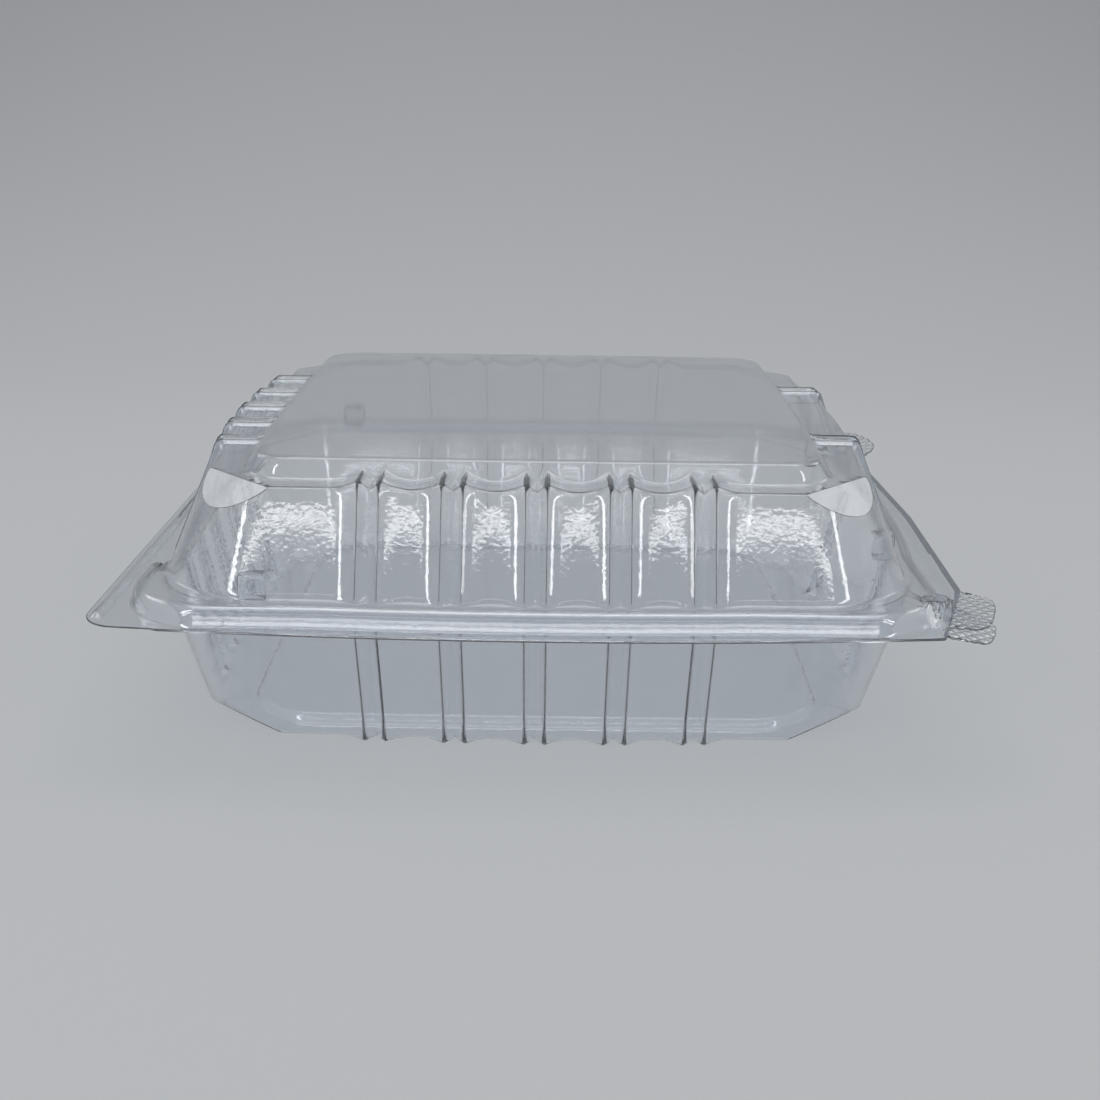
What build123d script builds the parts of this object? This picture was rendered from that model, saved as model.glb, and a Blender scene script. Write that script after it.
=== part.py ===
from build123d import *
import math
import os

os.makedirs("parts", exist_ok=True)

# Clear hinged pack: +X opens, -X is the hinge side, +Z up, origin under the middle of the tray.

# Sheet and fit
sheet = 0.4              # wall of the thermoformed sheet
fit_gap = 0.35           # air between the nested rims and buttons
rim_z = 40.0             # parting plane of tray and lid
hinge_gap = 0.2          # each flange edge to the fold line

# Walls, as half widths of the plain stretches near the corners
tray_half = (105.0, 105.0)    # tray wall at the parting plane, along X and Y
tray_radius = 34.0
foot_half = (95.5, 89.5)      # tray wall at the underside
foot_radius = 25.0
lid_half = (106.5, 106.5)     # lid wall at the parting plane
lid_radius = 33.0
ledge_half = (92.0, 91.5)     # lid wall at its ledge
ledge_radius = 20.5
ledge_rise = 33.3             # ledge above the parting plane
side_bow = 1.8                # how far the front and back swell at their middle
end_bow = 4.0                 # the same for the hinge side and the opening side
bow_reach = 58.0              # the swelling fades out this far from the middle

# Flutes
flute_pitch = 22.3       # from one V groove to the next
flute_reach = 2.6        # how far the ridges stand out of the wall
ridge_offset = 2.9       # V groove to each ridge beside it
rib_rise = 2.5           # ridges above the ledge
right_spread = 36.0      # V grooves of the opening side, from its middle

# Crown of the lid
crown_half = 82.5
crown_draft = 3.5        # how much the crown narrows over its rise
crown_radius = 13.0
crown_rise = 5.7
crown_edge = 1.6

# Corner facets
facet_drop = 6.5         # how far each facet reaches down the corner
facet_run = 9.0          # how far it reaches outwards over that drop

# Floor panel inside the foot ring
panel_half = (84.0, 81.5)
panel_radius = 24.0
panel_rise = 2.6
panel_draft = 1.2        # how much the panel narrows over its rise

# Flange
hinge_x = 120.0          # fold line from the middle
flange_right = 121.0
flange_front = 110.5
flange_bow = 5.5         # swelling of the front and back edges
right_bow = 2.5          # swelling of the opening edge
flange_radius = 10.0     # its corners at the hinge side

# Rim bead of the lid, which covers the one of the tray
bead_half = 111.5
bead_radius = 26.0
bead_rise = 6.0
bead_draft = 1.8         # how much the bead leans in over its rise
bead_edge = 2.4
bead_end = 74.0          # the bead stops this far from the middle of the hinge side
bead_ramp = 9.0

# Round bars beside the fold line
roll_radius = 1.5
roll_inset = 3.2         # roll centre from the fold line
roll_length = 210.0

# Snap buttons at the opening corners
button_x = 107.0
button_y = 99.0
button_base = 5.0
button_top = 3.8
button_rise = 7.4

# De-nesting lugs on the lid wall
lug_width = 7.6
lug_top = 12.5           # above the parting plane
lug_face = 104.0         # outer face from the middle
lug_depth = 9.0
lug_front_x = -75.0
lug_right_y = -58.0

# Lift tabs at the opening corners
tab_corner_x = 107.5     # where the tab line leaves the front edge
tab_near = 73.0          # where it meets the opening edge
lid_tab_from = 8.0       # along the tab line
lid_tab_to = 39.0
lid_tab_reach = 10.5
tray_tab_from = 2.0
tray_tab_to = 25.0
tray_tab_reach = 11.5
tab_round = 3.5
tab_droop = 9.0          # tilt of the tray tab in degrees


def side_point(side, along, out):
    """Place a point of one side: along it and out from the middle."""
    places = {
        "front": (along, -out),
        "right": (out, along),
        "back": (-along, out),
        "left": (-out, -along),
    }
    return places[side]


def groove_places(side):
    """V grooves of one side, measured from its middle."""
    if side == "right":
        return [-right_spread, right_spread]
    return [step * flute_pitch for step in range(-2, 3)]


def shrink(half, amount):
    """Half widths along X and Y, both less by an amount."""
    return (half[0] - amount, half[1] - amount)


def part_way(low, high, share):
    """Half widths on a straight wall, at a share of its height."""
    return tuple(a + (b - a) * share for a, b in zip(low, high))


def draw_side(side, half, radius):
    """Draw one fluted side and the round corner after it, anticlockwise."""
    across, deep = half
    bow = side_bow
    if side in ("right", "left"):
        across, deep = deep, across
        bow = end_bow
    places = groove_places(side)
    crest = flute_pitch / 2 - ridge_offset

    def level(along):
        return deep + bow * max(0.0, 1 - (along / bow_reach) ** 2)

    def point(along, out):
        return side_point(side, along, out)

    last = point(radius - across, deep)
    for place in places:
        start = place - flute_pitch / 2
        top = level(place) + flute_reach
        if place == places[0] or side == "right":
            Line(last, point(start, level(start)))
            last = point(start, level(start))
            dip = point(start + crest / 2, level(start) + 0.3 * flute_reach)
        else:
            dip = point(start, level(start))
        ThreePointArc(last, dip, point(place - ridge_offset, top))
        Line(point(place - ridge_offset, top), point(place, level(place)))
        Line(point(place, level(place)), point(place + ridge_offset, top))
        last = point(place + ridge_offset, top)
        if place == places[-1] or side == "right":
            stop = place + flute_pitch / 2
            dip = point(stop - crest / 2, level(stop) + 0.3 * flute_reach)
            ThreePointArc(last, dip, point(stop, level(stop)))
            last = point(stop, level(stop))
    Line(last, point(across - radius, deep))
    diagonal = radius * math.sqrt(0.5)
    ThreePointArc(
        point(across - radius, deep),
        point(across - radius + diagonal, deep - radius + diagonal),
        point(across, deep - radius),
    )


def wall_section(z, half, radius):
    """Fluted rounded square at one height."""
    with BuildSketch(Plane.XY.offset(z)) as section:
        with BuildLine():
            for side in ("front", "right", "back", "left"):
                draw_side(side, half, radius)
        make_face()
    return section.sketch


def wall_solid(low, low_half, low_radius, high, high_half, high_radius):
    """Fluted block between two heights."""
    with BuildPart() as wall:
        add(wall_section(low, low_half, low_radius))
        add(wall_section(high, high_half, high_radius))
        loft(ruled=True)
    return wall.part


def tapered_block(low, low_half, low_radius, high, high_half, high_radius):
    """Plain rounded block between two heights."""
    with BuildPart() as block:
        with BuildSketch(Plane.XY.offset(low)):
            RectangleRounded(2 * low_half[0], 2 * low_half[1], low_radius)
        with BuildSketch(Plane.XY.offset(high)):
            RectangleRounded(2 * high_half[0], 2 * high_half[1], high_radius)
        loft(ruled=True)
    return block.part


def rib_prisms(plane, places, length, base, top):
    """Ribs with a V groove each, drawn on an upright plane and run along its normal."""
    peak = top + rib_rise
    half_way = (flute_pitch / 2 + ridge_offset) / 2
    bend = top + 0.3 * rib_rise
    with BuildPart() as ribs:
        with BuildSketch(plane):
            for place in places:
                left = place - flute_pitch / 2
                right = place + flute_pitch / 2
                with BuildLine():
                    ThreePointArc((left, top), (place - half_way, bend), (place - ridge_offset, peak))
                    Line((place - ridge_offset, peak), (place, top))
                    Line((place, top), (place + ridge_offset, peak))
                    ThreePointArc((place + ridge_offset, peak), (place + half_way, bend), (right, top))
                    Line((right, top), (right, base))
                    Line((right, base), (left, base))
                    Line((left, base), (left, top))
                make_face()
        extrude(amount=length)
    return ribs.part


def air_over_ledge(top, depth):
    """Slab of air above the lid's ledge, with the ribs left out of it."""
    front = Plane(origin=(0, -lid_half[1], 0), x_dir=(1, 0, 0), z_dir=(0, 1, 0))
    hinge_side = Plane(origin=(-lid_half[0], 0, 0), x_dir=(0, -1, 0), z_dir=(1, 0, 0))
    opening_side = Plane(origin=(lid_half[0], 0, 0), x_dir=(0, 1, 0), z_dir=(-1, 0, 0))
    base = top - 1
    to_crown = lid_half[0] - crown_half / 2
    row = groove_places("front")
    pair = groove_places("right")
    with BuildPart() as air:
        with Locations((0, 0, top)):
            Box(2 * lid_half[0], 2 * lid_half[1], depth, align=(Align.CENTER, Align.CENTER, Align.MIN))
        add(rib_prisms(front, row, 2 * lid_half[1], base, top), mode=Mode.SUBTRACT)
        add(rib_prisms(hinge_side, row, to_crown, base, top), mode=Mode.SUBTRACT)
        add(rib_prisms(opening_side, pair, to_crown, base, top), mode=Mode.SUBTRACT)
    return air.part


def facet_cutter(z, half, radius, up):
    """Four slanted blocks that flatten the round corners between wall and ledge."""
    with BuildPart() as cutter:
        for x_sign, y_sign in ((-1, -1), (1, -1), (1, 1), (-1, 1)):
            out = Vector(x_sign, y_sign, 0).normalized()
            across = Vector(-out.Y, out.X, 0)
            chord = Vector(x_sign * (half[0] - radius / 2), y_sign * (half[1] - radius / 2), z)
            slope = Vector(out.X * facet_run, out.Y * facet_run, -up * facet_drop)
            normal = across.cross(slope) * -up
            with BuildSketch(Plane(origin=chord, x_dir=across, z_dir=normal)):
                Rectangle(3 * radius, 4 * radius)
            extrude(amount=2 * radius)
    return cutter.part


def flange_plate(low):
    """Flange of one half: straight at the fold, swelling on the other sides."""
    edge_x = hinge_gap - hinge_x
    side = flange_front - flange_radius
    turn_x = edge_x + flange_radius
    slant = flange_radius * math.sqrt(0.5)
    with BuildPart() as plate:
        with BuildSketch(Plane.XY.offset(low)):
            with BuildLine():
                for sign in (-1, 1):
                    ThreePointArc(
                        (edge_x, sign * side),
                        (turn_x - slant, sign * (side + slant)),
                        (turn_x, sign * flange_front),
                    )
                    ThreePointArc(
                        (turn_x, sign * flange_front),
                        (0, sign * (flange_front + flange_bow)),
                        (tab_corner_x, sign * flange_front),
                    )
                    Line((tab_corner_x, sign * flange_front), (flange_right, sign * tab_near))
                Line((edge_x, -side), (edge_x, side))
                ThreePointArc(
                    (flange_right, -tab_near),
                    (flange_right + right_bow, 0),
                    (flange_right, tab_near),
                )
            make_face()
        extrude(amount=sheet)
    return plate.part


def rim_block(low, rise, inset):
    """Raised block of the rim bead, open along the hinge side."""
    half = bead_half - inset
    top_half = half - bead_draft
    with BuildPart() as rim:
        with BuildSketch(Plane.XY.offset(low)):
            RectangleRounded(2 * half, 2 * half, bead_radius - inset)
        with BuildSketch(Plane.XY.offset(low + rise)):
            RectangleRounded(2 * top_half, 2 * top_half, bead_radius - inset - bead_draft)
        loft(ruled=True)
        crest = rim.faces().sort_by(Axis.Z)[-1]
        fillet(crest.edges(), radius=bead_edge - inset)
        with BuildSketch(Plane.XY.offset(low)):
            with BuildLine():
                Polyline(
                    (-half - 1, -bead_end - inset),
                    (-half + bead_ramp, -bead_end - inset + bead_ramp),
                    (-half + bead_ramp, bead_end + inset - bead_ramp),
                    (-half - 1, bead_end + inset),
                    close=True,
                )
            make_face()
        extrude(amount=rise, mode=Mode.SUBTRACT)
    return rim.part


def roll_bar(z, radius):
    """Round bar beside the fold line."""
    place = Plane(origin=(roll_inset - hinge_x, -roll_length / 2, z), z_dir=(0, 1, 0))
    with BuildPart() as roll:
        with BuildSketch(place):
            Circle(radius)
        extrude(amount=roll_length)
    return roll.part


def button_posts(low, rise, spare):
    """Tapered posts at the two opening corners, grown by a clearance."""
    with BuildPart() as posts:
        with Locations((button_x, -button_y, low), (button_x, button_y, low)):
            Cone(
                button_base + spare,
                button_top + spare,
                rise,
                align=(Align.CENTER, Align.CENTER, Align.MIN),
            )
    return posts.part


def lug_blocks(inset):
    """Small square lugs on three sides of the lid wall."""
    width = lug_width - 2 * inset
    depth = lug_depth - inset
    height = lug_top - inset
    reach = lug_face - inset - depth / 2
    with BuildPart() as lugs:
        with Locations((lug_front_x, -reach, rim_z), (lug_front_x, reach, rim_z)):
            Box(width, depth, height, align=(Align.CENTER, Align.CENTER, Align.MIN))
        with Locations((reach, lug_right_y, rim_z), (reach, -lug_right_y, rim_z)):
            Box(depth, width, height, align=(Align.CENTER, Align.CENTER, Align.MIN))
    return lugs.part


def lift_tabs(low, start, stop, reach, droop):
    """Rounded tabs beyond the slanted corners of the flange, front and back."""
    run = Vector(flange_right - tab_corner_x, flange_front - tab_near, 0).normalized()
    tilt = math.radians(droop)
    out = Vector(run.Y * math.cos(tilt), -run.X * math.cos(tilt), -math.sin(tilt))
    root = 2 * sheet
    corner = Vector(tab_corner_x, -flange_front, low - root * math.sin(tilt))
    with BuildPart() as tabs:
        with BuildSketch(Plane(origin=corner, x_dir=run, z_dir=run.cross(out) * -1)) as outline:
            with BuildLine():
                Polyline(
                    (start, root),
                    (start + reach / 3, -reach),
                    (stop - reach / 3, -reach),
                    (stop, root),
                    close=True,
                )
            make_face()
            fillet(outline.vertices().group_by(Axis.Y)[0], radius=tab_round)
        extrude(amount=sheet)
        mirror(about=Plane.XZ)
    return tabs.part


def crown_block(inset):
    """Raised square crown of the lid."""
    low = rim_z + ledge_rise - 2 * sheet
    high = rim_z + ledge_rise + crown_rise - inset
    with BuildPart() as crown:
        with BuildSketch(Plane.XY.offset(low)):
            RectangleRounded(2 * (crown_half - inset), 2 * (crown_half - inset), crown_radius - inset)
        with BuildSketch(Plane.XY.offset(high)):
            top = 2 * (crown_half - crown_draft - inset)
            RectangleRounded(top, top, crown_radius - inset)
        loft(ruled=True)
        fillet(crown.faces().sort_by(Axis.Z)[-1].edges(), radius=crown_edge - inset)
    return crown.part


def panel_block(inset):
    """Raised floor panel, drawn from the underside."""
    return tapered_block(
        0,
        shrink(panel_half, -inset),
        panel_radius + inset,
        panel_rise,
        shrink(panel_half, panel_draft - inset),
        panel_radius - panel_draft + inset,
    )


def lid_form(inset):
    """Solid shape of the lid above its flange, shrunk by an inset."""
    ledge_z = rim_z + ledge_rise
    above = rib_rise + 0.5
    share = (ledge_rise + above) / ledge_rise
    with BuildPart() as form:
        add(
            wall_solid(
                rim_z,
                shrink(lid_half, inset),
                lid_radius - inset,
                ledge_z + above,
                shrink(part_way(lid_half, ledge_half, share), inset),
                lid_radius - inset - (lid_radius - ledge_radius) * share,
            )
        )
        add(air_over_ledge(ledge_z - inset, above + 1), mode=Mode.SUBTRACT)
        add(facet_cutter(ledge_z - inset, shrink(ledge_half, inset), ledge_radius, 1), mode=Mode.SUBTRACT)
        add(crown_block(inset))
        add(rim_block(rim_z, bead_rise, inset))
        add(roll_bar(rim_z, roll_radius - inset))
        add(button_posts(rim_z, button_rise - inset, -inset))
        add(lug_blocks(inset))
        split(bisect_by=Plane.XY.offset(rim_z), keep=Keep.TOP)
    return form.part


with BuildPart() as lid:
    add(flange_plate(rim_z))
    add(lift_tabs(rim_z, lid_tab_from, lid_tab_to, lid_tab_reach, 0))
    add(lid_form(0))
    add(lid_form(sheet), mode=Mode.SUBTRACT)

nest = sheet + fit_gap   # how far the tray rim is shrunk under the lid rim
throat_half = shrink(tray_half, sheet)
throat_radius = tray_radius - sheet
throat_top = rim_z + bead_rise


def tray_hollow():
    """Inside of the tray, from its floor to the mouth."""
    floor_half = shrink(part_way(foot_half, tray_half, sheet / rim_z), sheet)
    mouth_half = shrink(part_way(tray_half, foot_half, sheet / rim_z), sheet)
    with BuildPart() as hollow:
        add(
            wall_solid(
                sheet,
                floor_half,
                foot_radius - sheet,
                rim_z - sheet,
                mouth_half,
                tray_radius - sheet,
            )
        )
        add(facet_cutter(sheet, floor_half, foot_radius, -1), mode=Mode.SUBTRACT)
        add(panel_block(sheet).moved(Location((0, 0, sheet))), mode=Mode.SUBTRACT)
        add(
            tapered_block(
                rim_z - 2 * sheet,
                throat_half,
                throat_radius,
                throat_top,
                throat_half,
                throat_radius,
            )
        )
    return hollow.part


def rim_channel():
    """Hollow under the tray's rim bead and buttons, outside the tray wall."""
    low = rim_z - sheet
    with BuildPart() as channel:
        add(rim_block(low, bead_rise - nest, nest + sheet))
        add(button_posts(low, button_rise - nest, -nest - sheet))
        add(
            tapered_block(low, tray_half, tray_radius, throat_top, tray_half, tray_radius),
            mode=Mode.SUBTRACT,
        )
        add(wall_solid(0, foot_half, foot_radius, rim_z, tray_half, tray_radius), mode=Mode.SUBTRACT)
    return channel.part


def lower_roll(radius):
    """Half round bar under the parting plane."""
    with BuildPart() as roll:
        add(roll_bar(rim_z, radius))
        split(bisect_by=Plane.XY.offset(rim_z), keep=Keep.BOTTOM)
    return roll.part


with BuildPart() as base_tray:
    add(wall_solid(0, foot_half, foot_radius, rim_z, tray_half, tray_radius))
    add(facet_cutter(0, foot_half, foot_radius, -1), mode=Mode.SUBTRACT)
    add(panel_block(0), mode=Mode.SUBTRACT)
    add(flange_plate(rim_z - sheet))
    add(lift_tabs(rim_z - sheet, tray_tab_from, tray_tab_to, tray_tab_reach, tab_droop))
    add(rim_block(rim_z, bead_rise - nest, nest))
    add(button_posts(rim_z, button_rise - nest, -nest))
    add(lower_roll(roll_radius))
    add(tray_hollow(), mode=Mode.SUBTRACT)
    add(rim_channel(), mode=Mode.SUBTRACT)
    add(lower_roll(roll_radius - sheet), mode=Mode.SUBTRACT)

lid.part.label = "lid"
base_tray.part.label = "base_tray"
export_step(lid.part, "parts/lid.step")
export_step(base_tray.part, "parts/base_tray.step")
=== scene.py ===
import bpy
import bmesh
import math
from mathutils import Matrix, Vector


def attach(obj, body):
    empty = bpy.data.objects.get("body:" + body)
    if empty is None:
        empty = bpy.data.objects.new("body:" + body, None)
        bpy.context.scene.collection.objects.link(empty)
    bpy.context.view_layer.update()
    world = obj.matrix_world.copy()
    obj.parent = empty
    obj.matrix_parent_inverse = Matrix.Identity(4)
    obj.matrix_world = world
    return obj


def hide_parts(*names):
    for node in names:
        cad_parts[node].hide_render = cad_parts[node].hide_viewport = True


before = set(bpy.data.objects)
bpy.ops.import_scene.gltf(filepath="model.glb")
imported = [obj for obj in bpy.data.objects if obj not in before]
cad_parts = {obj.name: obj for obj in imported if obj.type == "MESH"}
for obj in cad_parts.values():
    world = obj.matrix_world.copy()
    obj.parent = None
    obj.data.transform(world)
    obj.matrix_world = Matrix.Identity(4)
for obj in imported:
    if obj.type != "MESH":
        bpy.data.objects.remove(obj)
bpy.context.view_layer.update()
mm = 0.001
print("frame loaded")

pack = {  # millimetres, as the CAD model has them
    "rimZ": 40.0,
    "sheet": 0.36,
    "trayHalf": (105.0, 105.0),
    "trayRadius": 34.0,
    "footHalf": (95.5, 89.5),
    "footRadius": 25.0,
    "lidHalf": (106.5, 106.5),
    "lidRadius": 33.0,
    "ledgeHalf": (92.0, 91.5),
    "ledgeRadius": 20.5,
    "ledgeRise": 33.3,
    "sideBow": 1.8,
    "endBow": 4.0,
    "bowReach": 58.0,
    "beadHalf": 111.5,
    "beadRadius": 26.0,
    "beadRise": 6.0,
    "beadEnd": 74.0,
    "beadRamp": 9.0,
    "hingeSide": 10.0,  # the bead fades only this near the lid wall of the hinge side
    "rimGap": 0.75,     # air and slack between the nested beads
    "lidAbove": 0.06,   # underside of the lid's flange over the parting plane
    "trayBelow": 0.04,  # top of the tray's flange under it
}

flute = {
    "pitch": 22.3,
    "ridge": 2.9,       # V groove to each ridge beside it
    "reach": 2.6,
    "rise": 2.5,
    "rightSpread": 36.0,
    "steps": (2.6, 1.6, 0.45),             # samples inside the ridges
    "slopes": (3.2, 3.8, 4.8, 6.2, 7.8, 9.6),  # samples out to the next flute
    "plain": 5,         # samples along each plain stretch
    "turn": 40,         # samples round each corner
}

sides = ("front", "right", "back", "left")


def onSide(side, along, out):  # a point of one side: along it and out from the middle
    return {
        "front": (along, -out),
        "right": (out, along),
        "back": (-along, out),
        "left": (-out, -along),
    }[side]


def groovePlaces(side):
    if side == "right":
        return [-flute["rightSpread"], flute["rightSpread"]]
    return [step * flute["pitch"] for step in range(-2, 3)]


def ridgeShare(side, along):  # 1 on a ridge, 0 in its V groove and between the flutes
    away = min(abs(along - place) for place in groovePlaces(side))
    if away <= flute["ridge"]:
        return away / flute["ridge"]
    span = flute["pitch"] / 2 - flute["ridge"]
    return max(0.0, 1 - (away - flute["ridge"]) / span) ** 2


def bowOf(side, along):
    size = pack["endBow"] if side in ("right", "left") else pack["sideBow"]
    return size * max(0.0, 1 - (along / pack["bowReach"]) ** 2)


def walkAround():  # spots round the pack, anticlockwise from the front's left end
    spots = []
    for side in sides:
        marks = set()
        for place in groovePlaces(side):
            marks.add(round(place, 3))
            for gap in (flute["ridge"],) + flute["steps"] + flute["slopes"]:
                marks.update((round(place - gap, 3), round(place + gap, 3)))
            half = flute["pitch"] / 2
            marks.update((round(place - half, 3), round(place + half, 3)))
        edge = pack["bowReach"]
        gap = flute["rightSpread"] - flute["pitch"] / 2
        if side == "right":
            marks.update(round(gap * step / 6, 3) for step in range(-5, 6))
        marks.update((-edge, edge))
        for along in sorted(marks):
            spots.append({"side": side, "along": along, "ridge": ridgeShare(side, along)})
            if along == edge:
                plain, turn = flute["plain"], flute["turn"]
                for step in range(1, plain):
                    spots.append({"side": side, "past": step / plain, "ridge": 0.0})
                for step in range(0, turn + 1):
                    spots.append({"side": side, "turn": step / turn, "ridge": 0.0})
                after = sides[(sides.index(side) + 1) % 4]
                for step in range(plain - 1, 0, -1):
                    spots.append({"side": after, "past": -step / plain, "ridge": 0.0})
    return spots


spots = walkAround()


def ringPoint(spot, half, radius, reach=0.0, bow=1.0):  # a spot's place on a rounded square
    across, deep = half if spot["side"] in ("front", "back") else (half[1], half[0])
    straight = across - radius
    if "turn" in spot:
        angle = spot["turn"] * math.pi / 2
        along = straight + radius * math.sin(angle)
        out = deep - radius + radius * math.cos(angle)
    elif "past" in spot:
        sign = 1 if spot["past"] > 0 else -1
        along = sign * (pack["bowReach"] + abs(spot["past"]) * (straight - pack["bowReach"]))
        out = deep
    else:
        along = spot["along"]
        out = deep + bow * bowOf(spot["side"], along) + reach * spot["ridge"]
    return Vector(onSide(spot["side"], along, out))


def mix(low, high, share):
    return low + (high - low) * share


def mixHalf(low, high, share):
    return tuple(mix(a, b, share) for a, b in zip(low, high))


flange = {
    "hingeX": 119.8,
    "right": 121.0,
    "front": 110.5,
    "frontBow": 5.5,
    "rightBow": 2.5,
    "radius": 10.0,
    "tabX": 107.5,
    "tabY": 73.0,
    "droop": 0.9,       # how far the free edges hang
    "droopFade": 400.0,
    "rigid": -100.0,    # nothing hangs beyond this, at the hinge
    "margin": 0.6,      # flange starts this far outside the bead
    "rings": (1.0, 0.97, 0.9, 0.8, 0.72, 0.64, 0.58, 0.52, 0.46, 0.4, 0.34, 0.26, 0.16, 0.06),
}


def arcThrough(start, middle, end, count):  # a bowed edge, as a parabola through its middle
    points = []
    for step in range(count):
        t = step / count
        bend = 4 * t * (1 - t)
        centre = (Vector(start) + Vector(end)) / 2
        points.append(Vector(start).lerp(Vector(end), t) + (Vector(middle) - centre) * bend)
    return points


def flangeOutline():
    x, y, r = flange["hingeX"], flange["front"], flange["radius"]
    points = []
    for sign in (-1, 1):
        half = []
        for step in range(12):
            angle = math.pi / 2 * step / 12
            corner = (-x + r - r * math.cos(angle), sign * (y - r + r * math.sin(angle)))
            half.append(Vector(corner))
        half += arcThrough(
            (-x + r, sign * y),
            (0, sign * (y + flange["frontBow"])),
            (flange["tabX"], sign * y),
            40,
        )
        half.append(Vector((flange["tabX"], sign * y)))
        half += arcThrough(
            (flange["right"], sign * flange["tabY"]),
            (flange["right"] + flange["rightBow"] / 2, sign * flange["tabY"] / 2),
            (flange["right"] + flange["rightBow"], 0),
            20,
        )
        points = points + half if sign < 0 else points + half[::-1]
        if sign < 0:
            points.append(Vector((flange["right"] + flange["rightBow"], 0)))
    return points


outline = flangeOutline()


def rayOut(origin, direction):  # where a ray from inside leaves the flange
    best = None
    for one, two in zip(outline, outline[1:] + outline[:1]):
        edge = two - one
        cross = direction.x * edge.y - direction.y * edge.x
        if abs(cross) < 1e-9:
            continue
        gap = one - origin
        t = (gap.x * edge.y - gap.y * edge.x) / cross
        u = (gap.x * direction.y - gap.y * direction.x) / cross
        if t > 0 and -1e-6 <= u <= 1 + 1e-6 and (best is None or t < best):
            best = t
    return origin + direction * best


def lipPoint(spot, root):  # the flange's edge beyond a spot of the bead
    if "turn" in spot:
        straight = pack["beadHalf"] - pack["beadRadius"]
        centre = Vector(onSide(spot["side"], straight, straight))
        return rayOut(centre, (root - centre).normalized())
    return rayOut(root * 0.98, Vector(onSide(spot["side"], 0, 1)))


def beadShare(point):  # the bead is missing along the hinge side
    if point.x > -pack["lidHalf"][0] + pack["hingeSide"]:
        return 1.0
    share = (abs(point.y) - pack["beadEnd"] + pack["beadRamp"]) / pack["beadRamp"]
    share = min(1.0, max(0.0, share))
    return share * share * (3 - 2 * share)


bar = {"x": 116.6, "radius": 1.5, "length": 105.0, "fade": 1.5}


def rollHeight(point):  # half round bar beside the fold
    away = abs(point.x + bar["x"]) / bar["radius"]
    fade = min(1.0, max(0.0, (bar["length"] - abs(point.y)) / bar["fade"]))
    return bar["radius"] * math.sqrt(max(0.0, 1 - away * away)) * fade


button = {
    "x": 107.0,
    "y": 99.0,
    "base": 5.0,
    "top": 3.9,
    "rise": 7.3,
    "sides": 6,
    "turn": 15.0,      # degrees
    "ramp": 13.0,      # hatched ramp towards the middle of the front
    "rampWide": 7.0,
    "rampEdge": 1.2,
    "rampUnder": 0.6,  # the ramp ends this far under the top
    "rampCurve": 0.35,
    "hatch": 1.3,      # pitch of its grooves
    "hatchDeep": 0.25,
}


def buttonHeight(point, shrink):  # a six-sided post, its flats widened to the round one
    x, y = point.x - button["x"], abs(point.y) - button["y"]
    step = 2 * math.pi / button["sides"]
    angle = (math.atan2(y, x) - math.radians(button["turn"])) % step - step / 2
    away = math.hypot(x, y) * math.cos(angle) / math.cos(step / 4)
    share = (button["base"] - shrink - away) / (button["base"] - button["top"])
    height = (button["rise"] - shrink) * min(1.0, max(0.0, share))
    if -button["ramp"] < x < 0 and abs(y) < button["rampWide"] / 2:
        slope = 1 + x / button["ramp"]
        side = min(1.0, (button["rampWide"] / 2 - abs(y)) / button["rampEdge"])
        wave = abs(math.sin(math.pi * (x + y) / button["hatch"]))
        hatch = button["hatchDeep"] * wave if shrink == 0 else 0.0
        ramp = button["rise"] - button["rampUnder"] - shrink + hatch
        height = max(height, ramp * slope ** button["rampCurve"] * side)
    return height


def flangeStations(level, sign, nest):  # from the lip in to the bead, as functions of a spot
    stations = []
    half = pack["beadHalf"] - nest
    for share in flange["rings"]:

        def edge(spot, share=share):
            start = half + flange["margin"]
            root = ringPoint(spot, (start, start), pack["beadRadius"])
            point = root.lerp(lipPoint(spot, root), share)
            drop = flange["droop"] * (1 - abs(point.y) / flange["droopFade"]) * share * share
            if point.x <= flange["rigid"]:
                drop = 0.0
            height = level - drop + sign * rollHeight(point)
            height = max(height, buttonHeight(point, nest))
            return (point.x, point.y, pack["rimZ"] + height)

        stations.append(edge)
    return stations


bead = (  # out from its foot and up, for a rise of 6
    (0.25, 0.0),
    (0.0, 0.35),
    (-0.25, 1.0),
    (-0.6, 2.4),
    (-0.95, 3.8),
    (-1.4, 4.8),
    (-2.1, 5.5),
    (-3.0, 5.9),
    (-4.0, 6.0),
    (-5.0, 5.95),
)


def beadStations(level, nest, crest):  # up the outer side of the bead and over its crest
    stations = []
    half = pack["beadHalf"] - nest
    for out, high in bead:

        def over(spot, out=out, high=high):
            size = half + out
            point = ringPoint(spot, (size, size), pack["beadRadius"] - nest + out)
            height = level + (crest - level) * high / 6.0 * beadShare(point)
            height = max(height, buttonHeight(point, nest))
            return (point.x, point.y, pack["rimZ"] + height)

        stations.append(over)
    return stations


lidWall = {
    "rings": (  # share of the height, reach of the ridges, their lift, pull inwards
        (0.0, 0.6, 0, -1.1),
        (0.004, 1.4, 0, -0.4),
        (0.02, 2.3, 0, 0),
        (0.06, 2.6, 0, 0),
        (0.15, 2.6, 0, 0),
        (0.3, 2.6, 0, 0),
        (0.45, 2.6, 0, 0),
        (0.6, 2.6, 0, 0),
        (0.75, 2.6, 0, 0),
        (0.87, 2.6, 0, 0),
        (0.94, 2.6, 0.3, 0),
        (0.97, 2.55, 1.0, 0.05),
        (0.99, 2.35, 1.7, 0.25),
        (1.0, 1.8, 2.3, 0.7),
        (1.0, 0.9, 2.5, 1.5),
    ),
    "ledge": (0.35, 0.55, 0.75, 0.9),  # shares of the way to the crown
    "ledgeBow": 0.75,                  # share of the swelling lost on that way
}

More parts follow.
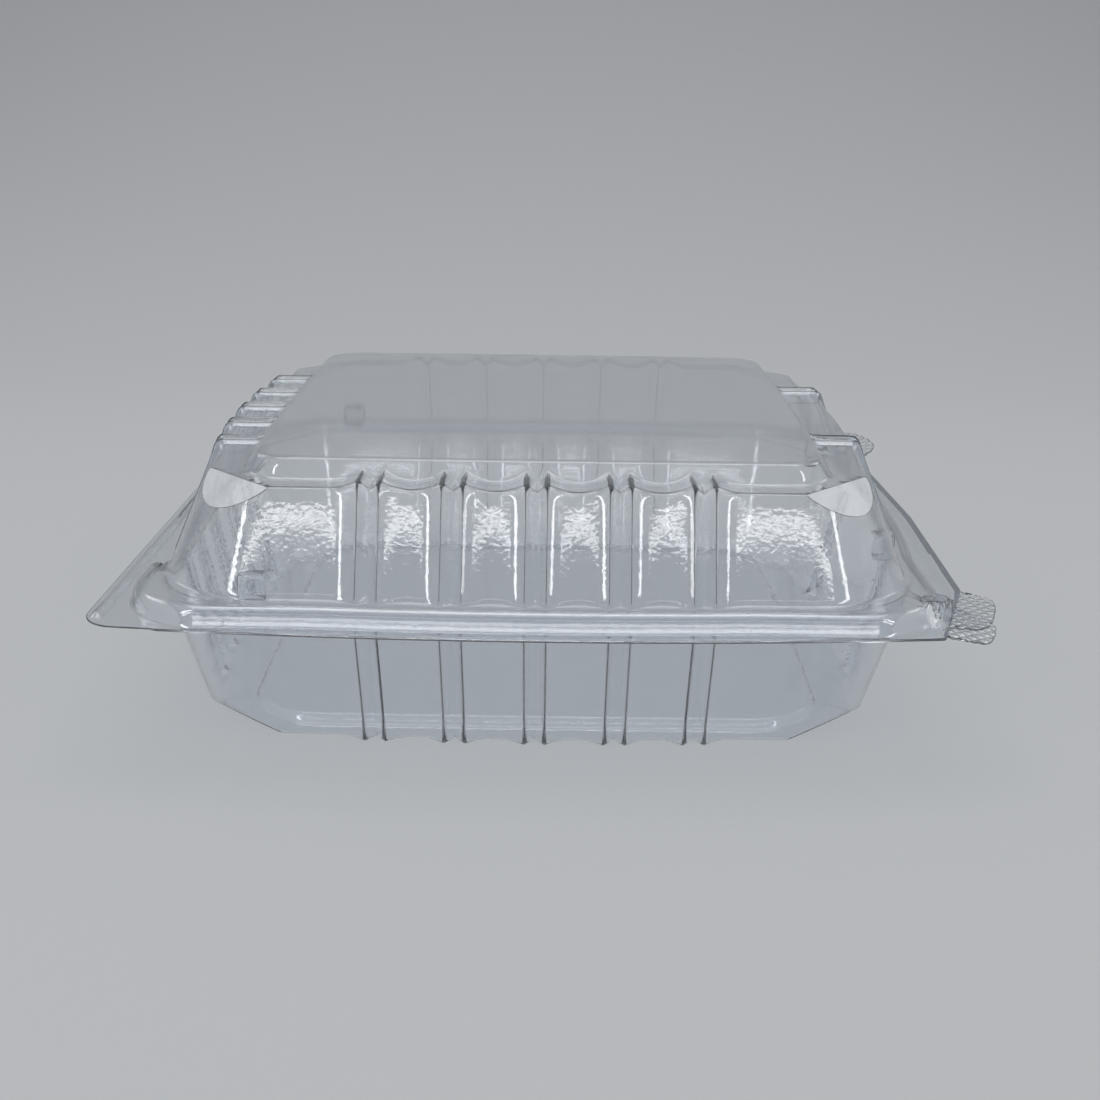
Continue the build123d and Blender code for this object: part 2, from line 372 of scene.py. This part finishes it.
crown = {
    "half": 82.5,
    "radius": 13.0,
    "bow": 0.25,      # share of the walls' swelling
    "border": 0.22,   # share of the top that rolls down
    "roll": 1.1,
    "dome": 0.5,
    "rings": (  # inset, height, lift of the ridges
        (-0.2, 0.05, 2.4),
        (0.35, 0.4, 2.2),
        (0.8, 1.2, 1.5),
        (1.4, 2.6, 0.2),
        (2.2, 4.0, 0.0),
        (2.8, 4.8, 0.0),
        (3.3, 5.1, 0.0),
        (4.0, 5.3, 0.0),
        (5.0, 5.42, 0.0),
    ),
    "shares": (0.985, 0.96, 0.93, 0.9, 0.87, 0.84, 0.81, 0.78, 0.74, 0.68, 0.6, 0.5, 0.38, 0.25, 0.12, 0.0),
}


def lidStations():
    level = pack["sheet"] + pack["lidAbove"]
    stations = flangeStations(level, 1, 0.0) + beadStations(level, 0.0, pack["beadRise"])
    rise = pack["ledgeRise"]

    def wall(high, reach, lift, pull):
        def place(spot):
            guess = ringPoint(spot, pack["lidHalf"], pack["lidRadius"])
            base = mix(level, pack["beadRise"], beadShare(guess))
            height = base + (rise - base) * high
            share = height / rise
            half = mixHalf(pack["lidHalf"], pack["ledgeHalf"], share)
            half = tuple(size - pull for size in half)
            radius = mix(pack["lidRadius"], pack["ledgeRadius"], share) - pull
            point = ringPoint(spot, half, radius, reach)
            height += lift * spot["ridge"]
            return (point.x, point.y, pack["rimZ"] + height)

        return place

    stations += [wall(*ring) for ring in lidWall["rings"]]

    def ledge(share, lift):
        def place(spot):
            half = mixHalf(pack["ledgeHalf"], (crown["half"], crown["half"]), share)
            radius = mix(pack["ledgeRadius"], crown["radius"], share)
            point = ringPoint(spot, half, radius, 0.0, 1 - share * lidWall["ledgeBow"])
            return (point.x, point.y, pack["rimZ"] + rise + lift * spot["ridge"])

        return place

    stations += [ledge(share, flute["rise"]) for share in lidWall["ledge"]]

    def crownRing(inset, high, lift):
        def place(spot):
            size = crown["half"] - inset
            radius = crown["radius"] - inset * 0.5
            point = ringPoint(spot, (size, size), radius, 0.0, crown["bow"])
            height = high + lift * spot["ridge"]
            return (point.x, point.y, pack["rimZ"] + rise + height)

        return place

    stations += [crownRing(*ring) for ring in crown["rings"]]
    edge = stations[-1]

    def inward(share):
        def place(spot):
            x, y, z = edge(spot)
            rolled = min(1.0, (1 - share) / crown["border"])
            swell = crown["dome"] * (1 - share * share) + crown["roll"] * (1 - (1 - rolled) ** 2)
            return (x * share, y * share, z + swell)

        return place

    return stations + [inward(share) for share in crown["shares"]]


foot = {
    "clear": 0.05,   # the sheet stands this far off the floor
    "high": 9.0,     # the ridges flare below this height
    "tip": 2.2,      # how far they flare
    "rings": (  # height, reach of the ridges, pull inwards
        (39.2, 0.3, 0),
        (38.8, 1.2, 0),
        (38.3, 2.1, 0),
        (37.6, 2.5, 0),
        (36.0, 2.6, 0),
        (32.0, 2.6, 0),
        (27.0, 2.6, 0),
        (22.0, 2.6, 0),
        (17.0, 2.6, 0),
        (12.0, 2.6, 0),
        (8.0, 2.6, 0),
        (4.5, 2.6, 0),
        (2.6, 2.6, 0),
        (1.4, 2.5, 0.1),
        (0.6, 2.2, 0.4),
        (0.15, 1.6, 0.9),
        (0.0, 0.9, 1.6),
        (0.0, 0.3, 2.6),
    ),
}

rimInside = ((2.2, 1.0), (1.2, 0.95), (0.5, 0.8), (0.2, 0.5), (0.1, 0.2))  # out, share of the rise

panel = {
    "half": (84.0, 81.5),
    "radius": 22.0,
    "bow": 0.2,
    "rings": (  # inset, height
        (-1.0, 0.0),
        (-0.3, 0.1),
        (0.1, 0.5),
        (0.6, 1.6),
        (1.0, 2.3),
        (1.7, 2.55),
        (2.6, 2.6),
    ),
    "shares": (0.93, 0.82, 0.68, 0.52, 0.35, 0.18, 0.0),
}


def trayStations():
    under = pack["sheet"] + pack["trayBelow"]
    nest = pack["rimGap"] + pack["sheet"]
    crest = pack["beadRise"] - nest
    stations = flangeStations(-under, -1, nest) + beadStations(-under, nest, crest)
    stations = stations[:-2]

    def inner(out, high):
        def place(spot):
            size = pack["trayHalf"][0] + out
            point = ringPoint(spot, (size, size), pack["trayRadius"])
            height = mix(-under, crest * high, beadShare(point))
            return (point.x, point.y, pack["rimZ"] + height)

        return place

    stations += [inner(*ring) for ring in rimInside]

    def wall(height, reach, pull):
        def place(spot):
            share = height / pack["rimZ"]
            half = mixHalf(pack["footHalf"], pack["trayHalf"], share)
            half = tuple(size - pull for size in half)
            radius = mix(pack["footRadius"], pack["trayRadius"], share) - pull
            low = max(0.0, 1 - height / foot["high"]) ** 2
            grow = foot["tip"] * low
            point = ringPoint(spot, half, radius, reach + grow * min(1.0, reach / 2.0))
            return (point.x, point.y, height + foot["clear"])

        return place

    stations += [wall(*ring) for ring in foot["rings"]]

    def floorRing(inset, height):
        def place(spot):
            half = tuple(size - inset for size in panel["half"])
            point = ringPoint(spot, half, panel["radius"] - inset, 0.0, panel["bow"])
            return (point.x, point.y, height + foot["clear"])

        return place

    stations += [floorRing(*ring) for ring in panel["rings"]]
    edge = stations[-1]

    def inward(share):
        def place(spot):
            x, y, z = edge(spot)
            return (x * share, y * share, z)

        return place

    return stations + [inward(share) for share in panel["shares"]]


print("outlines ready:", len(spots), "spots round the pack")


facet = {"drop": 6.5, "run": 9.0, "search": 20.0}


def cutFacets(shell, z, half, radius, up):  # flatten the round corners between wall and ledge
    for x, y in ((-1, -1), (1, -1), (1, 1), (-1, 1)):
        out = Vector((x, y, 0)).normalized()
        across = Vector((-out.y, out.x, 0))
        chord = Vector((x * (half[0] - radius / 2), y * (half[1] - radius / 2), z)) * mm
        slope = Vector((out.x * facet["run"], out.y * facet["run"], -up * facet["drop"]))
        normal = across.cross(slope).normalized() * -up
        limit = chord.dot(out) - facet["search"] * mm
        near = [face for face in shell.faces if face.calc_center_median().dot(out) > limit]
        parts = set(near)
        for face in near:
            parts.update(face.edges)
            parts.update(face.verts)
        cut = bmesh.ops.bisect_plane(
            shell, geom=list(parts), dist=1e-7, plane_co=chord, plane_no=normal, clear_outer=True
        )
        edges = [part for part in cut["geom_cut"] if isinstance(part, bmesh.types.BMEdge)]
        loop = [edge for edge in edges if edge.is_boundary]
        bmesh.ops.edgeloop_fill(shell, edges=loop)
        for edge in loop:
            edge.smooth = False


def wrapSheet(stations):  # a grid wrapped round the pack, one row for each station
    rows = len(stations) - 1
    count = len(spots)
    shell = bmesh.new()
    bmesh.ops.create_grid(shell, x_segments=count, y_segments=rows, size=0.5)
    for corner in shell.verts:
        column = round((corner.co.x + 0.5) * count) % count
        row = round((corner.co.y + 0.5) * rows)
        corner.co = Vector(stations[row](spots[column])) * mm
    bmesh.ops.remove_doubles(shell, verts=shell.verts, dist=2e-6)
    return shell


def turnOut(shell):  # normals up on the lid's top and down on the tray's floor
    bmesh.ops.recalc_face_normals(shell, faces=shell.faces)
    middle = Vector((0, 0, pack["rimZ"] * mm))
    top = max(shell.faces, key=lambda face: abs(face.calc_center_median().z - middle.z))
    if top.normal.z * (top.calc_center_median().z - middle.z) < 0:
        bmesh.ops.reverse_faces(shell, faces=shell.faces)


def joinShell(shell, extra):  # move a second shell into the first
    part = bpy.data.meshes.new("part")
    extra.to_mesh(part)
    extra.free()
    shell.from_mesh(part)
    bpy.data.meshes.remove(part)


sharpAngle = math.radians(50)


def emit(shell, name, body, node, material):
    for face in shell.faces:
        face.smooth = True
    for edge in shell.edges:
        if len(edge.link_faces) == 2 and edge.calc_face_angle(0) > sharpAngle:
            edge.smooth = False
    mesh = bpy.data.meshes.new(name)
    shell.to_mesh(mesh)
    shell.free()
    piece = bpy.data.objects.new(name, mesh)
    bpy.context.scene.collection.objects.link(piece)
    mesh.materials.append(material)
    wall = piece.modifiers.new("wall", "SOLIDIFY")
    wall.thickness = pack["sheet"] * mm
    wall.offset = -1.0
    wall.use_quality_normals = True
    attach(piece, body)
    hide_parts(node)
    return piece


tab = {
    "lid": {"from": 8.0, "to": 39.0, "reach": 10.5, "level": 0.06, "tilt": 0.0, "rear": 0.5},
    "tray": {"from": 2.0, "to": 25.0, "reach": 11.5, "level": -0.42, "tilt": 9.0, "rear": 0.0},
    "thread": 2.3,      # pitch of the embossed diamonds
    "emboss": 0.42,
    "grid": 0.3,        # size of a mesh face
    "root": 1.0,        # how far each tab reaches back under the lip
    "round": 3.2,       # higher is squarer
    "taper": 0.1,
}


def addTabs(shell, which):
    cut = tab[which]
    run = Vector((flange["right"] - flange["tabX"], flange["front"] - flange["tabY"], 0)).normalized()
    out = Vector((run.y, -run.x, 0))
    corner = Vector((flange["tabX"], -flange["front"], pack["rimZ"] + cut["level"]))
    length = cut["to"] - cut["from"]
    tilt = math.tan(math.radians(cut["tilt"]))
    columns = round(length / tab["grid"])
    rows = round(cut["reach"] / tab["grid"])
    for sign in (1, -1):
        grid = bmesh.new()
        bmesh.ops.create_grid(grid, x_segments=columns, y_segments=rows, size=0.5)
        for vert in grid.verts:
            along = vert.co.x + 0.5
            away = vert.co.y + 0.5
            bulge = (1 - abs(2 * along - 1) ** tab["round"]) ** (1 / tab["round"])
            width = 0.9 + tab["taper"] * (1 - away)
            place = cut["from"] + length * (0.5 + (along - 0.5) * width)
            far = (cut["reach"] + tab["root"]) * away * (0.25 + 0.75 * bulge) - tab["root"]
            knurl = abs(math.sin(math.pi * (place + 1.5 * far) / tab["thread"] / 2))
            knurl = min(knurl, abs(math.sin(math.pi * (place - 1.5 * far) / tab["thread"] / 2)))
            fade = min(1.0, max(0.0, far + 0.6))
            point = corner + run * place + out * far
            lift = cut["rear"] if sign < 0 else 0.0
            point.z += tab["emboss"] * knurl * fade + max(far, -1) * (lift - tilt)
            vert.co = Vector((point.x, point.y * sign, point.z)) * mm
        turnOut(grid)
        joinShell(shell, grid)


lug = {
    "width": 7.6,
    "low": 5.2,
    "top": 12.5,
    "face": 104.0,
    "depth": 6.0,
    "frontX": -75.0,
    "rightY": 58.0,
    "edge": 0.9,
    "open": 1.5,     # faces this far inside the middle are left open
}


def addLugs(shell):
    low, high = lug["low"], lug["top"]
    middle = lug["face"] - lug["depth"] / 2
    places = [(lug["frontX"], -middle, True), (lug["frontX"], middle, True)]
    places += [(middle, -lug["rightY"], False), (middle, lug["rightY"], False)]
    for x, y, wide in places:
        box = bmesh.new()
        bmesh.ops.create_cube(box, size=1.0)
        size = (lug["width"], lug["depth"]) if wide else (lug["depth"], lug["width"])
        bmesh.ops.scale(box, vec=Vector((size[0], size[1], high - low)) * mm, verts=box.verts)
        centre = Vector((x, y, pack["rimZ"] + (low + high) / 2))
        bmesh.ops.translate(box, vec=centre * mm, verts=box.verts)
        bmesh.ops.bevel(
            box,
            geom=box.edges[:],
            offset=lug["edge"] * mm,
            segments=3,
            affect="EDGES",
            profile=0.5,
            material=-1,
        )
        out = Vector((x, y, 0)).normalized()
        limit = (Vector((x, y, 0)).length - lug["open"]) * mm
        inner = [face for face in box.faces if face.calc_center_median().dot(out) < limit]
        bmesh.ops.delete(box, geom=inner, context="FACES")
        bmesh.ops.recalc_face_normals(box, faces=box.faces)
        if sum(face.normal.dot(face.calc_center_median()) for face in box.faces) < 0:
            bmesh.ops.reverse_faces(box, faces=box.faces)
        joinShell(shell, box)


class Wire:  # one shader socket, so that maths on it adds nodes
    def __init__(self, shader, socket):
        self.shader = shader
        self.socket = socket

    def join(self, kind, other, swap=False):
        pair = [other, self] if swap else [self, other]
        return self.shader.node("ShaderNodeMath", {"operation": kind}, {0: pair[0], 1: pair[1]})

    def __add__(self, other):
        return self.join("ADD", other)

    def __radd__(self, other):
        return self.join("ADD", other, True)

    def __sub__(self, other):
        return self.join("SUBTRACT", other)

    def __rsub__(self, other):
        return self.join("SUBTRACT", other, True)

    def __mul__(self, other):
        return self.join("MULTIPLY", other)

    def __rmul__(self, other):
        return self.join("MULTIPLY", other, True)


class Shader:  # a material's node tree
    def __init__(self, name):
        self.material = bpy.data.materials.new(name)
        self.material.use_nodes = True
        self.tree = self.material.node_tree
        self.tree.nodes.clear()

    def node(self, kind, settings=None, sockets=None, out=0):
        made = self.tree.nodes.new(kind)
        for key, value in (settings or {}).items():
            setattr(made, key, value)
        for key, value in (sockets or {}).items():
            if isinstance(value, Wire):
                self.tree.links.new(value.socket, made.inputs[key])
            else:
                made.inputs[key].default_value = value
        return Wire(self, made.outputs[out]) if len(made.outputs) else made

    def finish(self, wire):
        self.node("ShaderNodeOutputMaterial", None, {"Surface": wire})
        return self.material


plastic = {
    "tint": (0.93, 0.945, 0.965, 1),  # faint blue grey, once through each face
    "shade": (0.95, 0.958, 0.965, 1),  # what light on its way to the floor keeps
    "roughness": 0.03,
    "index": 1.52,
    "ripple": 0.000022,               # depth of the orange peel, metres
    "smoothAbove": (0.068, 0.074),    # the crown has next to none
    "rippleScale": 800.0,
    "waveScale": 60.0,                # slow waves of the drawn sheet
    "wave": 0.0001,
    "waveStrength": 0.3,
    "rippleStrength": 0.8,
    "haze": 0.025,
    "hazeColour": (0.86, 0.89, 0.93, 1),
    "hazeRoughness": 0.4,
}


def clearSheet(name):
    shader = Shader(name)
    place = shader.node("ShaderNodeTexCoord", None, None, 3)
    noise = shader.node(
        "ShaderNodeTexNoise", None, {"Vector": place, "Scale": plastic["rippleScale"], "Detail": 1.0}
    )
    level = shader.node("ShaderNodeSeparateXYZ", None, {0: place}, 2)
    low, high = plastic["smoothAbove"]
    noise = noise * shader.node("ShaderNodeMapRange", None, {0: level, 1: low, 2: high, 3: 1.0, 4: 0.1})
    wave = shader.node(
        "ShaderNodeTexNoise", None, {"Vector": place, "Scale": plastic["waveScale"], "Detail": 1.0}
    )
    bump = shader.node(
        "ShaderNodeBump",
        None,
        {"Height": wave, "Strength": plastic["waveStrength"], "Distance": plastic["wave"]},
    )
    bump = shader.node(
        "ShaderNodeBump",
        None,
        {
            "Height": noise,
            "Strength": plastic["rippleStrength"],
            "Distance": plastic["ripple"],
            "Normal": bump,
        },
    )
    sheet = shader.node(
        "ShaderNodeBsdfPrincipled",
        None,
        {
            "Base Color": plastic["tint"],
            "Roughness": plastic["roughness"],
            "IOR": plastic["index"],
            "Transmission Weight": 1.0,
            "Normal": bump,
        },
    )
    haze = shader.node(
        "ShaderNodeBsdfPrincipled",
        None,
        {
            "Base Color": plastic["hazeColour"],
            "Roughness": plastic["hazeRoughness"],
            "IOR": plastic["index"],
            "Normal": bump,
        },
    )
    body = shader.node("ShaderNodeMixShader", None, {0: plastic["haze"], 1: sheet, 2: haze})
    through = shader.node("ShaderNodeBsdfTransparent", None, {"Color": plastic["shade"]})
    shadow = shader.node("ShaderNodeLightPath", None, None, 1)
    diffuse = shader.node("ShaderNodeLightPath", None, None, 2)
    passing = shadow.join("MAXIMUM", diffuse)  # light for the floor goes straight through
    return shader.finish(shader.node("ShaderNodeMixShader", None, {0: passing, 1: body, 2: through}))


def makeLid():
    shell = wrapSheet(lidStations())
    cutFacets(shell, pack["rimZ"] + pack["ledgeRise"], pack["ledgeHalf"], pack["ledgeRadius"], 1)
    turnOut(shell)
    addTabs(shell, "lid")
    addLugs(shell)
    return emit(shell, "lidSheet", "lid", "lid", clearSheet("lidPlastic"))


def makeTray():
    shell = wrapSheet(trayStations())
    cutFacets(shell, 0, pack["footHalf"], pack["footRadius"], -1)
    turnOut(shell)
    addTabs(shell, "tray")
    return emit(shell, "traySheet", "tray", "base_tray", clearSheet("trayPlastic"))


for piece in (makeLid(), makeTray()):
    print(piece.name, "finished with", len(piece.data.polygons), "faces")

stage = {
    "size": 6.0,
    "floor": (0.60, 0.61, 0.62, 1),
    "world": (0.80, 0.82, 0.85, 1),
    "worldLevel": 0.42,
    "wall": 1.6,        # how far behind the pack the backdrop stands
    "bend": 1.2,
}


def layFloor():  # a floor that curves up into a wall behind
    mesh = bpy.data.meshes.new("floor")
    half = stage["size"] / 2
    profile = [(-half, 0.0)]
    for step in range(25):
        angle = math.pi / 2 * step / 24
        bend = stage["bend"]
        profile.append((stage["wall"] - bend + bend * math.sin(angle), bend - bend * math.cos(angle)))
    profile.append((stage["wall"], half))
    sweep = bmesh.new()
    bmesh.ops.create_grid(sweep, x_segments=1, y_segments=len(profile) - 1, size=half)
    for corner in sweep.verts:
        row = round((corner.co.y / half + 1) / 2 * (len(profile) - 1))
        corner.co.y, corner.co.z = profile[row]
    for face in sweep.faces:
        face.smooth = True
    sweep.to_mesh(mesh)
    sweep.free()
    floor = bpy.data.objects.new("floor", mesh)
    bpy.context.scene.collection.objects.link(floor)
    shader = Shader("floorPaint")
    paint = shader.node("ShaderNodeBsdfPrincipled", None, {"Base Color": stage["floor"], "Roughness": 0.9})
    mesh.materials.append(shader.finish(paint))


def lightWorld():
    world = bpy.data.worlds.new("studio")
    world.use_nodes = True
    world.node_tree.nodes["Background"].inputs[0].default_value = stage["world"]
    world.node_tree.nodes["Background"].inputs[1].default_value = stage["worldLevel"]
    bpy.context.scene.world = world


lamps = [
    {"name": "leftLamp", "place": (-0.62, -0.62, 0.52), "size": (0.07, 0.5), "power": 0.9},
    {"name": "rightLamp", "place": (0.66, -0.55, 0.52), "size": (0.06, 0.5), "power": 0.7},
    {"name": "frontLamp", "place": (0.0, -0.85, 0.53), "size": (1.3, 0.022), "power": 0.5},
    {"name": "lowLamp", "place": (0.0, -1.4, 0.36), "size": (1.8, 0.14), "power": 2.4},
    {"name": "backLeftLamp", "place": (-0.72, 0.45, 0.66), "size": (0.3, 0.3), "power": 0.4},
    {"name": "backRightLamp", "place": (0.72, 0.45, 0.66), "size": (0.3, 0.3), "power": 0.4},
    {"name": "topLamp", "place": (0.0, 0.2, 1.1), "size": (1.1, 0.6), "power": 4.5},
]


def hangLamps():
    for lamp in lamps:
        data = bpy.data.lights.new(lamp["name"], "AREA")
        data.shape = "RECTANGLE"
        data.size, data.size_y = lamp["size"]
        data.energy = lamp["power"]
        light = bpy.data.objects.new(lamp["name"], data)
        light.location = lamp["place"]
        aim = Vector((0, 0, 0.03)) - light.location
        light.rotation_euler = aim.to_track_quat("-Z", "Y").to_euler()
        bpy.context.scene.collection.objects.link(light)


view = {
    "place": (0.0042, -0.4635, 0.1783),
    "pitch": 18.08,  # degrees below level
    "turn": -0.08,
    "roll": 0.78,
    "lens": 47.45,
}


def placeCamera():
    data = bpy.data.cameras.new("camera")
    data.lens = view["lens"]
    data.sensor_width = 36.0
    data.clip_start = 0.01
    camera = bpy.data.objects.new("camera", data)
    turn = Matrix.Rotation(math.radians(-view["turn"]), 4, "Z")
    pitch = Matrix.Rotation(math.radians(90 - view["pitch"]), 4, "X")
    roll = Matrix.Rotation(math.radians(view["roll"]), 4, "Z")
    camera.matrix_world = Matrix.Translation(view["place"]) @ turn @ pitch @ roll
    bpy.context.scene.collection.objects.link(camera)
    bpy.context.scene.camera = camera


layFloor()
lightWorld()
hangLamps()
placeCamera()
bpy.context.scene.view_settings.view_transform = "Standard"
bpy.context.scene.cycles.max_bounces = 18
bpy.context.scene.cycles.caustics_reflective = False
bpy.context.scene.cycles.transmission_bounces = 18
bpy.context.scene.cycles.transparent_max_bounces = 24
print("stage set")
